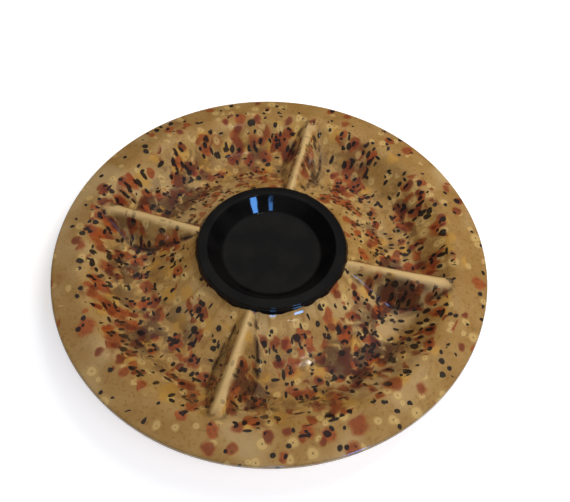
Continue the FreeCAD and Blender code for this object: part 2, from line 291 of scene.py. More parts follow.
# %% Ramps and sockets
def ramp(tree, value, low, high, start=0.0, end=1.0, smooth=True):
    """A Map Range node from low..high to start..end, clamped; gives its output socket."""
    node = tree.nodes.new("ShaderNodeMapRange")
    node.interpolation_type = "SMOOTHSTEP" if smooth else "LINEAR"
    for name, given in (("Value", value), ("From Min", low), ("From Max", high),
                        ("To Min", start), ("To Max", end)):
        feed(tree, node.inputs[name], given)
    return node.outputs["Result"]


def sockets(tree, direction, kind, *names):
    """Add sockets of one kind to a tree's interface, "INPUT" or "OUTPUT"."""
    for name in names:
        tree.interface.new_socket(name, in_out=direction, socket_type=f"NodeSocket{kind}")


print("helpers:", ramp.__name__, sockets.__name__)

# %% [markdown]
# ### The place beside a rib
#
# A point knows only its x, y and z. Its angle, rounded to the nearest quarter turn, says which
# rib is nearest, and what is left over gives the distance along that rib and aside of it. So
# one set of nodes serves four ribs, and would serve five if the count were changed.

# %% The inputs of a rib, and the place beside it
RIB_INPUTS = ("Rib Count", "Ridge Height", "Ridge Climb", "Inner Half Width", "Outer Half Width",
              "Flare", "Rounding", "Flank Slope", "Root Softness", "Start", "End", "Side")


def place_by_rib(tree, given):
    """The distances along and aside of the nearest rib, and the point's own height."""
    split = tree.nodes.new("ShaderNodeSeparateXYZ")
    tree.links.new(tree.nodes.new("GeometryNodeInputPosition").outputs[0], split.inputs[0])
    x, y, z = split.outputs
    radius = hypotenuse(tree, x, y)
    sector = maths(tree, "DIVIDE", 2 * math.pi, given["Rib Count"])
    angle = maths(tree, "ARCTAN2", y, x)
    nearest = times(tree, maths(tree, "ROUND", maths(tree, "DIVIDE", angle, sector)), sector)
    local = minus(tree, angle, nearest)
    along = times(tree, radius, maths(tree, "COSINE", local))
    aside = maths(tree, "ABSOLUTE", times(tree, radius, maths(tree, "SINE", local)))
    return along, aside, z


print(f"a rib has {len(RIB_INPUTS)} inputs")

# %% [markdown]
# ### The rib's own height
#
# From the ridge the surface first curves down and then falls straight, like the flank of a
# tent with a rounded ridge pole. The outer end does the same along its length, so the ridge
# widens, bows down and ends in a nose that lies into the brim.

# %% How high the rib is at a point
FLARE_RUN = 26 * MM  # the ridge widens over this run up to the end
NOSE_RUN = 12 * MM  # the end falls away over this run,
NOSE_FALL = 0.5  # half as steeply as the flanks
SINK_RUN, SINK = 16 * MM, 1.4 * MM  # the ridge bows down before its end


def rib_height(tree, given, along, aside):
    """The rib's height at a place beside it, and how far out that is from its top."""
    start, end = given["Start"], given["End"]
    half = ramp(tree, along, start, end, given["Inner Half Width"], given["Outer Half Width"],
                smooth=False)
    flaring = ramp(tree, along, minus(tree, end, FLARE_RUN), end)
    half = maths(tree, "MULTIPLY_ADD", flaring, given["Flare"], half)
    past_top = minus(tree, aside, minus(tree, half, given["Rounding"]))
    past_nose = minus(tree, along, minus(tree, end, NOSE_RUN))
    out = hypotenuse(tree, maths(tree, "MAXIMUM", past_top, 0),
                     times(tree, maths(tree, "MAXIMUM", past_nose, 0), NOSE_FALL))
    round_span = times(tree, given["Rounding"], 2)
    curved = maths(tree, "MINIMUM", out, round_span)
    curved_drop = maths(tree, "DIVIDE", times(tree, curved, curved), times(tree, round_span, 2))
    straight_drop = maths(tree, "MAXIMUM", minus(tree, out, round_span), 0)
    drop = times(tree, maths(tree, "ADD", curved_drop, straight_drop), given["Flank Slope"])
    climb = maths(tree, "MULTIPLY_ADD", along, given["Ridge Climb"], given["Ridge Height"])
    ridge = minus(tree, climb, ramp(tree, along, minus(tree, end, SINK_RUN), end, 0.0, SINK))
    return minus(tree, ridge, drop), out


print(f"a rib's nose is {NOSE_RUN / MM:.0f} mm long and its ridge sinks by {SINK / MM:.1f} mm")

# %% [markdown]
# ### Skin and rib made one
#
# A plain maximum would leave a crease where rib and skin meet. The smooth maximum fills it with
# a fillet, and the softness is faded along the rib, because the fillet starts under the collar
# and dies out on the brim. The marks for the glaze are stored before the points are moved.

# %% The rib group
BEGIN_RUN = 0.8 * MM  # a rib begins over this much on either side of its start
ROOT_RUN = 9 * MM  # its root softens over this run from the start
FADE_RUN = 22 * MM  # the root hardens and the marks fade over the last of its length
END_ROOT = 0.35  # share of the root's softness that is left at the end
HARD_ROOT = 0.4 * MM  # softness that every root has


def rib_group():
    """Lifts points to a smooth maximum of their own height and a rib's."""
    tree = bpy.data.node_groups.new("raise_ribs", "GeometryNodeTree")
    sockets(tree, "INPUT", "Geometry", "Geometry")
    sockets(tree, "INPUT", "Float", *RIB_INPUTS)
    sockets(tree, "OUTPUT", "Geometry", "Geometry")
    given = tree.nodes.new("NodeGroupInput").outputs
    start, end = given["Start"], given["End"]
    along, aside, z = place_by_rib(tree, given)
    rib, out = rib_height(tree, given, along, aside)

    begun = ramp(tree, along, start, maths(tree, "ADD", start, ROOT_RUN))
    going = ramp(tree, along, end, minus(tree, end, FADE_RUN))
    held = maths(tree, "MULTIPLY_ADD", going, 1 - END_ROOT, END_ROOT)
    softness = maths(tree, "MULTIPLY_ADD", times(tree, begun, held), given["Root Softness"],
                     HARD_ROOT)
    lifted = maths(tree, "SMOOTH_MAX", z, rib, softness)
    started = ramp(tree, along, minus(tree, start, BEGIN_RUN),
                   maths(tree, "ADD", start, BEGIN_RUN))
    gain = times(tree, minus(tree, lifted, z), started)

    # Only points on the asked side move: 1 is the top, 0 the underside.
    mark = tree.nodes.new("GeometryNodeInputNamedAttribute")
    mark.data_type = "FLOAT"
    mark.inputs["Name"].default_value = "upper"
    other_side = maths(tree, "ABSOLUTE", minus(tree, mark.outputs["Attribute"], given["Side"]))
    chosen = maths(tree, "LESS_THAN", other_side, 0.5)

    # The marks that the glaze reads.
    over = minus(tree, rib, z)
    beside = maths(tree, "ABSOLUTE", over)
    marks = {
        "crest": times(tree, ramp(tree, over, -0.5 * MM, 2 * MM),
                       ramp(tree, out, 6 * MM, 0.5 * MM), started, going, chosen),
        "root": times(tree, ramp(tree, beside, 11 * MM, 0), begun, going, chosen),
        "valley": times(tree, ramp(tree, beside, 3.4 * MM, 0.4 * MM), started, going, chosen),
    }
    chain = given["Geometry"]
    for name, value in marks.items():
        store = tree.nodes.new("GeometryNodeStoreNamedAttribute")
        store.data_type = "FLOAT"
        store.domain = "POINT"
        store.inputs["Name"].default_value = name
        tree.links.new(chosen, store.inputs["Selection"])
        tree.links.new(value, store.inputs["Value"])
        tree.links.new(chain, store.inputs["Geometry"])
        chain = store.outputs[0]

    shift = tree.nodes.new("ShaderNodeCombineXYZ")
    tree.links.new(gain, shift.inputs["Z"])
    move = tree.nodes.new("GeometryNodeSetPosition")
    tree.links.new(chain, move.inputs["Geometry"])
    tree.links.new(chosen, move.inputs["Selection"])
    tree.links.new(shift.outputs[0], move.inputs["Offset"])
    leave = tree.nodes.new("NodeGroupOutput")
    tree.links.new(move.outputs[0], leave.inputs[0])
    print(f"rib group: {len(tree.nodes)} nodes")
    return tree


RIBS = rib_group()

# %% Sizes of the ribs and of the hollows under them
RIDGE_CLIMB = math.tan(math.radians(2.2))
RIDGE_HEIGHT = COLLAR_TOP - 0.8 * MM - COLLAR_R * RIDGE_CLIMB
FLANK_SLOPE = 1 / math.tan(math.radians(25))
RIB_SIZES = {
    "Rib Count": RIB_COUNT,
    "Ridge Height": RIDGE_HEIGHT,
    "Ridge Climb": RIDGE_CLIMB,
    "Inner Half Width": 3.2 * MM,
    "Outer Half Width": 4.7 * MM,
    "Flare": 1.4 * MM,
    "Rounding": 3.7 * MM,
    "Flank Slope": FLANK_SLOPE,
    "Root Softness": 8 * MM,
    "Start": COLLAR_R + 0.6 * MM,
    "End": BRIM_R + 7 * MM,
    "Side": 1.0,
}
HOLLOW_SIZES = {
    "Rib Count": RIB_COUNT,
    "Ridge Height": RIDGE_HEIGHT - 10 * MM,
    "Ridge Climb": RIDGE_CLIMB,
    "Inner Half Width": 1.5 * MM,
    "Outer Half Width": 3.1 * MM,
    "Flare": 0.0,
    "Rounding": 1.5 * MM,
    "Flank Slope": FLANK_SLOPE,
    "Root Softness": 4 * MM,
    "Start": COLLAR_R + 15.5 * MM,
    "End": BRIM_R - WALL,
    "Side": 0.0,
}
print(f"ridges climb {RIDGE_CLIMB:.3f} outwards, flanks fall {FLANK_SLOPE:.2f} aside")

# %% [markdown]
# ## The tray's tree
#
# The whole tray is one modifier: ribs above, hollows below, then the glaze. The slip-cast wall
# is even, so each rib has a hollow of the same kind beneath it. All sizes come in by name, and
# the result is kept as a plain mesh.

# %% Ribs above, hollows below, then the glaze
def tray_tree():
    """Geometry in, ribs above, hollows below, one glaze, geometry out."""
    tree = bpy.data.node_groups.new("tray_form", "GeometryNodeTree")
    sockets(tree, "INPUT", "Geometry", "Geometry")
    for part in ("Rib", "Hollow"):
        sockets(tree, "INPUT", "Float", *[f"{part} {name}" for name in RIB_INPUTS])
    sockets(tree, "INPUT", "Material", "Glaze")
    sockets(tree, "OUTPUT", "Geometry", "Geometry")
    given = tree.nodes.new("NodeGroupInput").outputs
    chain = given["Geometry"]
    for part in ("Rib", "Hollow"):
        step = tree.nodes.new("GeometryNodeGroup")
        step.node_tree = RIBS
        tree.links.new(chain, step.inputs["Geometry"])
        for name in RIB_INPUTS:
            tree.links.new(given[f"{part} {name}"], step.inputs[name])
        chain = step.outputs["Geometry"]
    real = tree.nodes.new("GeometryNodeRealizeInstances")
    coat = tree.nodes.new("GeometryNodeSetMaterial")
    leave = tree.nodes.new("NodeGroupOutput")
    tree.links.new(chain, real.inputs[0])
    tree.links.new(real.outputs[0], coat.inputs["Geometry"])
    tree.links.new(given["Glaze"], coat.inputs["Material"])
    tree.links.new(coat.outputs[0], leave.inputs[0])
    print(f"tray's tree: {len(tree.nodes)} nodes")
    return tree


# %% A helper that runs a tree and keeps its result
def apply_tree(piece, tree, values):
    """Run a tree on a piece with named inputs and keep the result as its plain mesh."""
    modifier = piece.modifiers.new("form", "NODES")
    modifier.node_group = tree
    keys = {item.name: item.identifier for item in tree.interface.items_tree
            if item.item_type == "SOCKET" and item.in_out == "INPUT"}
    for name, value in values.items():
        modifier[keys[name]] = value
    bpy.context.view_layer.update()
    graph = bpy.context.evaluated_depsgraph_get()
    shaped = bpy.data.meshes.new_from_object(piece.evaluated_get(graph), depsgraph=graph)
    piece.modifiers.remove(modifier)
    piece.data = shaped
    shaped.shade_smooth()
    top = max(v.co.z for v in shaped.vertices)
    print(f"{piece.name}: {len(shaped.polygons)} faces, top {top / MM:.2f} mm")


# %% [markdown]
# ## The glazes
#
# The tray's glaze is a clear honey coat over pale clay. Chips of coloured glaze were scattered
# over it before the firing. Some melted into soft terracotta blobs, some left pale spots with a
# dark middle, amber and purple ones spread out thinly as stains, and the black ones stayed as
# small dots or ran into short dashes. Where the walls are steep the coat ran down and pooled, so
# the troughs and the roots of the ribs are darker and busier than the brim.
#
# A sprinkle is always the same idea: a Voronoi texture gives each chip a cell, a number by
# chance says whether the chip is there and how big it is, and a little noise spoils its
# roundness. That is one node group, placed once for each kind of chip.

# %% Helpers for shader trees
def shader_node(tree, kind, **values):
    """A shader node with its properties and inputs set by name."""
    node = tree.nodes.new(kind)
    for name, value in values.items():
        if name.islower() and hasattr(node, name):
            setattr(node, name, value)
        else:
            feed(tree, node.inputs[name.replace("_", " ")], value)
    return node


def noise(tree, vector, scale, detail, distortion=0.0):
    """A noise texture's value at a place; its scale counts bumps per metre, more or less."""
    return shader_node(tree, "ShaderNodeTexNoise", Vector=vector, Scale=scale, Detail=detail,
                       Distortion=distortion).outputs["Fac"]


def vectors(tree, operation, first, second):
    """A Vector Math node on two vectors, or on a vector and the number that scales it."""
    node = shader_node(tree, "ShaderNodeVectorMath", operation=operation)
    feed(tree, node.inputs[0], first)
    feed(tree, node.inputs["Scale" if operation == "SCALE" else 1], second)
    return node.outputs[0]


def mixed(tree, amount, first, second):
    """Blend from the first colour to the second; gives the output socket."""
    node = tree.nodes.new("ShaderNodeMix")
    node.data_type = "RGBA"
    for slot, value in ((0, amount), (6, first), (7, second)):
        feed(tree, node.inputs[slot], value)
    return node.outputs[2]


# %% A group for scattered chips
WOBBLE_SCALE = 150.0  # noise cells per metre in the chips' ragged edges
CELL_RANDOMNESS = 0.8


def chips_group():
    """Scattered round chips: a mask, the reach from a chip's middle, and its number by chance."""
    tree = bpy.data.node_groups.new("scattered_chips", "ShaderNodeTree")
    sockets(tree, "INPUT", "Vector", "Vector")
    sockets(tree, "INPUT", "Float", "Spacing", "Radius", "Size Variation", "Share", "Ragged",
            "Softness", "Seed")
    sockets(tree, "OUTPUT", "Float", "Mask", "Reach", "Chance")
    given = tree.nodes.new("NodeGroupInput").outputs

    # Noise pushes each point a little, and the seed moves the whole pattern.
    wobble = shader_node(tree, "ShaderNodeTexNoise", Vector=given["Vector"], Scale=WOBBLE_SCALE,
                         Detail=0.0)
    away = vectors(tree, "SUBTRACT", wobble.outputs["Color"], (0.5, 0.5, 0.5))
    moved = vectors(tree, "ADD", given["Vector"], vectors(tree, "SCALE", away, given["Ragged"]))
    apart = shader_node(tree, "ShaderNodeCombineXYZ", X=given["Seed"], Y=given["Seed"])
    cells = shader_node(tree, "ShaderNodeTexVoronoi", voronoi_dimensions="2D",
                        Vector=vectors(tree, "ADD", moved, apart.outputs[0]),
                        Scale=maths(tree, "DIVIDE", 1.0, given["Spacing"]),
                        Randomness=CELL_RANDOMNESS)

    # The cell's colour is three numbers by chance: red keeps the chip, green shrinks it.
    distance = times(tree, cells.outputs["Distance"], given["Spacing"])
    chance = shader_node(tree, "ShaderNodeSeparateColor", Color=cells.outputs["Color"]).outputs
    smaller = times(tree, chance["Green"], given["Size Variation"])
    reach = maths(tree, "DIVIDE", distance, times(tree, given["Radius"], minus(tree, 1.0, smaller)))
    inside = ramp(tree, reach, maths(tree, "ADD", 1.0, given["Softness"]),
                  minus(tree, 1.0, given["Softness"]))
    kept = maths(tree, "LESS_THAN", chance["Red"], given["Share"])
    leave = tree.nodes.new("NodeGroupOutput")
    tree.links.new(times(tree, inside, kept), leave.inputs["Mask"])
    tree.links.new(reach, leave.inputs["Reach"])
    tree.links.new(times(tree, chance["Blue"], kept), leave.inputs["Chance"])
    print(f"chips group: {len(tree.nodes)} nodes")
    return tree


CHIPS = chips_group()


def chips(tree, vector, spacing, radius, seed, share, variation, ragged, softness):
    """One kind of chip: the group placed with its own values; gives its outputs by name."""
    node = shader_node(tree, "ShaderNodeGroup", node_tree=CHIPS)
    for name, value in (("Vector", vector), ("Spacing", spacing), ("Radius", radius),
                        ("Seed", seed), ("Share", share), ("Size Variation", variation),
                        ("Ragged", ragged), ("Softness", softness)):
        feed(tree, node.inputs[name], value)
    return node.outputs


# %% Colours of clay and glaze, as linear light
def colour(red, green, blue):
    """An opaque colour for a socket."""
    return (red, green, blue, 1.0)


HONEY = colour(0.37, 0.206, 0.057)
HONEY_THIN = colour(0.50, 0.315, 0.110)
# deep honey of thick glaze; on the brim it is also laid on as painted shade
HONEY_DEEP_AND_SHADE = colour(0.205, 0.092, 0.017)
AMBER = colour(0.50, 0.262, 0.045)
TERRACOTTA = colour(0.33, 0.068, 0.014)
BRICK = colour(0.15, 0.024, 0.010)
PLUM = colour(0.15, 0.034, 0.012)
# cream: the glaze's own paler patches, also laid on as painted sheen
CREAM_AND_SHEEN = colour(0.58, 0.42, 0.20)
# the crest colour: partly the pale of glaze gone thin on the ridges, partly a painted highlight
# along them
CREST_THIN_AND_HIGHLIGHT = colour(0.61, 0.415, 0.175)
PALE_SPOT = colour(0.64, 0.43, 0.15)
POOL = colour(0.052, 0.017, 0.012)
UMBER = colour(0.012, 0.008, 0.007)
BLACK = colour(0.003, 0.0025, 0.0025)
BLACK_THIN = colour(0.006, 0.0055, 0.005)
OLIVE_EDGE = colour(0.13, 0.095, 0.05)
BARE_CLAY = colour(0.62, 0.52, 0.40)
SHEET = colour(0.90, 0.90, 0.90)
SKY = colour(0.96, 0.95, 0.93)

# How far each layer covers what lies below it.
AMBER_COVER, SPOT_COVER, SPOT_EDGE_COVER = 0.7, 0.62, 0.5
RED_COVER, POOL_COVER, BLACK_COVER, CREST_THIN_AND_HIGHLIGHT_COVER, RIM_COVER = 0.88, 0.82, 0.95, 0.85, 0.45
print(f"honey sends back {HONEY[0]:.0%} of the red light and {HONEY[2]:.0%} of the blue")

# %% [markdown]
# ## Where the sprinkle is thick
#
# All layers ask the same questions of a point: how far out it is, what the ribs marked there,
# and how thick the chips lie. So the answers are worked out once and kept by name. The sprinkle
# is thick in the trough, between the collar and the brim, and in drifts on the brim.

# %% Places and masks that the layers share
class Places:
    """Sockets that say where a point of the tray is and how busy the glaze is there."""

    def __init__(self, tree):
        self.point = shader_node(tree, "ShaderNodeTexCoord").outputs["Object"]
        x, y, self.height = shader_node(tree, "ShaderNodeSeparateXYZ", Vector=self.point).outputs
        self.flat = shader_node(tree, "ShaderNodeCombineXYZ", X=x, Y=y).outputs[0]
        self.radius = hypotenuse(tree, x, y)
        self.turn = maths(tree, "ARCTAN2", y, x)
        for mark in ("upper", "crest", "root", "valley"):
            stored = shader_node(tree, "ShaderNodeAttribute", attribute_name=mark)
            setattr(self, mark, stored.outputs["Fac"])
        self.off_crest = minus(tree, 1.0, self.crest)
        self.drift = noise(tree, self.flat, 17.0, 1.5)
        self.clouds = noise(tree, self.point, 26.0, 3.0)
        self.mottle = noise(tree, self.point, 60.0, 4.0)
        self.grain = noise(tree, self.point, 420.0, 3.0)

        # Busy is 0 on the brim and 1 in the trough; the crowd adds heaps and drifts to it.
        trough = times(tree, ramp(tree, self.radius, COLLAR_R + 3 * MM, COLLAR_R + 24 * MM),
                       ramp(tree, self.radius, BRIM_R + 10 * MM, BRIM_R - 10 * MM))
        self.busy = times(tree, trough, self.off_crest)
        heaps = ramp(tree, noise(tree, self.flat, 31.0, 1.0), 0.42, 0.55, 0.08, 1.0)
        thick = maths(tree, "MULTIPLY_ADD", ramp(tree, self.drift, 0.46, 0.58), 0.45,
                      times(tree, self.busy, heaps))
        self.crowd = maths(tree, "MINIMUM", thick, 1.0)


def spared(tree, at, loss, cover=1.0):
    """A cover that loses this much on the crests, where glaze draws back."""
    return maths(tree, "MULTIPLY_ADD", at.crest, -loss, cover)


def unrolled(tree, at, around, outward):
    """The tray's top as a flat strip, angle by radius; chips laid on it come out as dashes."""
    return shader_node(tree, "ShaderNodeCombineXYZ", X=times(tree, at.turn, around),
                       Y=times(tree, at.radius, outward)).outputs[0]


# %% [markdown]
# ## The honey coat
#
# Each layer from here on takes the colour so far and gives back a new one. The first is the
# coat itself. On the real tray it is one see-through glaze, and most of its tone says how thick
# it lies: pale where it drew back from the ridges, deep where it ran. A true see-through layer
# would need slow light paths, so the thickness is told by mixing a thin and a deep honey. Three
# layers paint light as well: the crests are painted paler than thin glaze alone makes them, as a
# painted highlight, the brim is painted darker as painted shade, and the cream drifts are partly
# painted sheen.

# %% The honey coat
def honey_coat(tree, at):
    """Honey glaze: thin on the crests under a painted highlight, painted darker on the brim as
    painted shade, deep where it ran, pale in drifts that are partly painted sheen.
    """
    cream_and_sheen_tide = noise(tree, at.flat, 14.0, 2.0)
    streak = noise(tree, unrolled(tree, at, CONE_FOOT_R, 0.25), 110.0, 3.0)
    on_cone = times(tree, ramp(tree, at.radius, COLLAR_R + 30 * MM, COLLAR_R + 6 * MM),
                    at.off_crest)
    coat = HONEY
    for amount, tint in (
            # thin patches, a fine grain, and deep clouds in the trough
            (ramp(tree, at.mottle, 0.35, 0.68, 0.0, 0.6), HONEY_THIN),
            (ramp(tree, at.grain, 0.50, 0.70, 0.0, 0.5), HONEY_DEEP_AND_SHADE),
            (times(tree, at.busy, ramp(tree, at.clouds, 0.40, 0.62, 0.0, 0.36)), HONEY_DEEP_AND_SHADE),
            # the brim painted darker, as painted shade, with pale drifts over everything, partly
            # painted sheen
            (ramp(tree, at.radius, BRIM_R - 4 * MM, BRIM_R + 6 * MM, 0.0, 0.32), HONEY_DEEP_AND_SHADE),
            # pale cream drifts: partly the glaze's own paler patches, partly painted sheen
            (ramp(tree, cream_and_sheen_tide, 0.48, 0.62, 0.0, 0.45), CREAM_AND_SHEEN),
            # pale crests, partly thin glaze and partly a painted highlight, and streaks down the
            # cone from the collar
            (times(tree, at.crest, CREST_THIN_AND_HIGHLIGHT_COVER), CREST_THIN_AND_HIGHLIGHT),
            (times(tree, ramp(tree, streak, 0.50, 0.68, 0.0, 0.5), on_cone), HONEY_DEEP_AND_SHADE)):
        coat = mixed(tree, amount, coat, tint)
    return coat


# %% [markdown]
# ## Pale spots
#
# Some chips were of a pale glaze with a dark grain in it, and melted into flat discs with a
# faint brown edge. The chips group gives the distance from a chip's middle, so one distance
# draws all three: the disc, its edge and its middle. Painting them as an image would fix their
# size, and this way they can be moved and resized with a number.

# %% Pale spots
# Each kind: spacing, radius, seed.
PALE_SPOTS = ((15.5 * MM, 4.6 * MM, 0.37), (12.5 * MM, 3.3 * MM, 5.21))
LAST_SPOTS = ((16.5 * MM, 3.8 * MM, 3.07),)
print(f"{len(PALE_SPOTS)} kinds of pale spot below the red chips, {len(LAST_SPOTS)} above them")


def pale_spots(tree, at, coat, kinds, share):
    """Lay pale spots with a faint edge; gives the colour and the mask of their dark middles."""
    lasting = spared(tree, at, 0.7)
    middles = 0.0
    for spacing, radius, seed in kinds:
        spots = chips(tree, at.flat, spacing, radius, seed, share,
                      variation=0.4, ragged=2.4 * MM, softness=0.3)
        disc = times(tree, spots["Mask"], lasting)
        edge = times(tree, ramp(tree, spots["Reach"], 0.7, 0.95),
                     ramp(tree, spots["Reach"], 1.25, 0.95))
        coat = mixed(tree, times(tree, disc, SPOT_COVER), coat, PALE_SPOT)
        coat = mixed(tree, times(tree, disc, edge, SPOT_EDGE_COVER), coat, HONEY_DEEP_AND_SHADE)
        middle = times(tree, disc, ramp(tree, spots["Reach"], 0.2, 0.1))
        middles = maths(tree, "MAXIMUM", middles, middle)
    return coat, middles


# %% [markdown]
# ## Thin stains
#
# Other chips melted right away and only stained the coat, amber in the trough and purple where
# the sprinkle is thickest. They are chips once more, but so ragged and soft that no edge shows.

# %% Thin stains
def stains(tree, at, coat):
    """Amber spots in the trough, and purple chips that spread out in the thick of the sprinkle."""
    amber_share = times(tree, at.busy, 0.55)
    ambers = chips(tree, at.flat, 19 * MM, 6.2 * MM, 6.63, amber_share,
                   variation=0.4, ragged=4 * MM, softness=0.45)
    coat = mixed(tree, times(tree, ambers["Mask"], AMBER_COVER), coat, AMBER)
    plum_share = ramp(tree, at.crowd, 0.35, 1.0, 0.0, 0.75)
    plums = chips(tree, at.flat, 19 * MM, 6.4 * MM, 9.49, plum_share,
                  variation=0.4, ragged=9 * MM, softness=0.5)
    thinness = ramp(tree, at.clouds, 0.38, 0.62, 0.15, 0.65)
    return mixed(tree, times(tree, plums["Mask"], at.off_crest, thinness), coat, PLUM)


# %% [markdown]
# ## Red chips
#
# The largest chips are terracotta red and stand up a little from the coat. Three sizes are laid
# one over another, and they crowd together where the sprinkle is thick. Each has a number by
# chance that turns some of them brick red, since no two melted alike.

# %% Red chips
# Each kind: spacing, radius, seed, least and most share, and how far the dull ones go to brick.
RED_CHIPS = (
    (18.0 * MM, 6.6 * MM, 0.81, 0.10, 0.85, 0.45),
    (14.0 * MM, 5.1 * MM, 1.93, 0.07, 0.88, 0.6),
    (11.5 * MM, 4.1 * MM, 7.37, 0.03, 0.85, 1.0),
)
print("red chips up to", *(f"{2 * row[1] / MM:.0f} mm" for row in RED_CHIPS), "across")


def red_chips(tree, at, coat):
    """Terracotta blobs with brick ones among them; gives the colour and how they stand up."""
    heavy = ramp(tree, at.crowd, 0.15, 1.0)
    cover = spared(tree, at, 0.75, RED_COVER)
    relief = 0.0
    for spacing, radius, seed, least, most, dull in RED_CHIPS:
        share = ramp(tree, heavy, 0.0, 1.0, least, most)
        blobs = chips(tree, at.flat, spacing, radius, seed, share,
                      variation=0.45, ragged=4.8 * MM, softness=0.33)
        red = mixed(tree, ramp(tree, blobs["Chance"], 0.2, 0.5, 0.0, dull), TERRACOTTA, BRICK)
        red = mixed(tree, ramp(tree, blobs["Reach"], 0.5, 1.0, 0.0, 0.5), red, TERRACOTTA)
        red = mixed(tree, ramp(tree, at.grain, 0.42, 0.66, 0.0, 0.5), red, BRICK)
        coat = mixed(tree, times(tree, blobs["Mask"], cover), coat, red)
        relief = maths(tree, "MAXIMUM", relief, blobs["Mask"])
    return coat, relief


# %% [markdown]
# ## Glaze that ran
#
# A runny glaze leaves the walls and gathers at their feet, taking the colour of the chips with
# it. Following the real flow would be a simulation. Here the marks that the ribs left and the
# distance from the axis say where it would gather, and a warped noise draws the dark veins.

# %% Glaze that ran
def ran_glaze(tree, at, coat):
    """Brown glaze in the roots and on the floor; gives its mask and that of the black drips."""
    floor = times(tree, ramp(tree, at.radius, CONE_FOOT_R - 26 * MM, CONE_FOOT_R - 4 * MM),
                  ramp(tree, at.radius, BRIM_R - 2 * MM, SLOPE_FOOT_R + 4 * MM))
    gather = maths(tree, "MAXIMUM", times(tree, at.root, 0.95),
                   times(tree, floor, ramp(tree, at.drift, 0.38, 0.58, 0.35, 1.0)))
    run = noise(tree, at.point, 85.0, 3.0, distortion=0.8)
    veins = ramp(tree, maths(tree, "MULTIPLY_ADD", gather, 0.17, run), 0.54, 0.66)
    coat = mixed(tree, times(tree, veins, gather, at.off_crest, POOL_COVER), coat, POOL)

    # Black glaze ran down the valleys beside the ribs, most of it near the collar.
    high = ramp(tree, at.radius, COLLAR_R + 30 * MM, COLLAR_R)
    broken = ramp(tree, maths(tree, "MULTIPLY_ADD", high, 0.07, run), 0.52, 0.60)
    return coat, gather, times(tree, at.valley, broken, at.off_crest)


# %% [markdown]
# ## Black chips
#
# The black chips hardly melted, so they are small and sharp. On the level brim they stayed
# round. On the walls they slid into dashes, some down the slope and some along it: these are
# round chips too, laid on a strip of the tray that is squeezed one way.

# %% Black chips
def black_chips(tree, at, gather, dark):
    """Adds black chips to a mask: few on the brim, crowded in the trough, some run to dashes."""
    flock = ramp(tree, noise(tree, at.flat, 62.0, 1.0), 0.42, 0.60, 0.25, 1.0)
    thick = times(tree, maths(tree, "MAXIMUM", gather, at.busy), flock)
    big_share = times(tree, ramp(tree, at.crowd, 0.0, 1.0, 0.26, 0.85), flock)
    small_share = times(tree, ramp(tree, at.crowd, 0.0, 1.0, 0.09, 0.85), flock)
    down = unrolled(tree, at, CONE_FOOT_R, 0.5)
    across = unrolled(tree, at, CONE_FOOT_R * 0.5, 1.0)
    for vector, spacing, radius, seed, share in (
            (at.flat, 11.5 * MM, 2.7 * MM, 2.77, big_share),
            (at.flat, 8.0 * MM, 1.9 * MM, 8.11, small_share),
            (down, 5.8 * MM, 1.5 * MM, 3.61, times(tree, thick, 0.75)),
            (across, 6.2 * MM, 1.45 * MM, 4.43, times(tree, thick, 0.6))):
        dots = chips(tree, vector, spacing, radius, seed, share,
                     variation=0.45, ragged=2.2 * MM, softness=0.16)
        dark = maths(tree, "MAXIMUM", dark, dots["Mask"])
    return times(tree, dark, spared(tree, at, 0.6))


# %% [markdown]
# ## Edges
#
# Three things happen at fixed places. The coat drew back from the plate's sharp rim, the potter
# brushed black glaze round the collar under the bowl's lip, and the foot was wiped bare so that
# it wouldn't stick to the kiln shelf. The brush line wavers because noise is added to the radius.

# %% Edges
def edges(tree, at, coat):
    """The drawn-back rim, the black brushed round the collar, and the bare foot with its mask."""
    rim = times(tree, ramp(tree, at.radius, PLATE_R - 1.6 * MM, PLATE_R - 0.4 * MM), RIM_COVER)
    brush = minus(tree, noise(tree, at.point, 62.0, 2.0), 0.5)
    brushed = ramp(tree, maths(tree, "MULTIPLY_ADD", brush, 5 * MM, at.radius),
                   COLLAR_R + 1 * MM, COLLAR_R + 0.6 * MM)
    bare = ramp(tree, at.height, 0.9 * MM, 0.4 * MM)
    for amount, tint in ((rim, OLIVE_EDGE), (times(tree, brushed, at.upper), BLACK),
                         (bare, BARE_CLAY)):
        coat = mixed(tree, amount, coat, tint)
    return coat, bare


# %% [markdown]
# ## From colour to glaze
#
# A glaze is glass over clay: it keeps its colour and adds a sharp mirror. A Principled shader
# with low roughness does that, and the tray gets a clear coat on top because its glaze is
# thick. A slight bump makes the mirrored lights waver, as they do on anything dipped by hand.

# %% A glossy material for both glazes
BARE_ROUGHNESS = 0.8


def new_material(name):
    """A material and its empty node tree."""
    material = bpy.data.materials.new(name)
    material.use_nodes = True
    material.node_tree.nodes.clear()
    return material, material.node_tree


def glossy(tree, base, bare, roughness, relief, strength, depth, **inputs):
    """The shader under a glaze: glossy but for the bare clay, and lightly embossed."""
    matt = maths(tree, "MAXIMUM", times(tree, bare, BARE_ROUGHNESS), roughness)
    bump = shader_node(tree, "ShaderNodeBump", Strength=strength, Distance=depth, Height=relief)
    shader = shader_node(tree, "ShaderNodeBsdfPrincipled", Base_Color=base, Roughness=matt,
                         Normal=bump.outputs[0], **inputs)
    leave = tree.nodes.new("ShaderNodeOutputMaterial")
    tree.links.new(shader.outputs[0], leave.inputs[0])


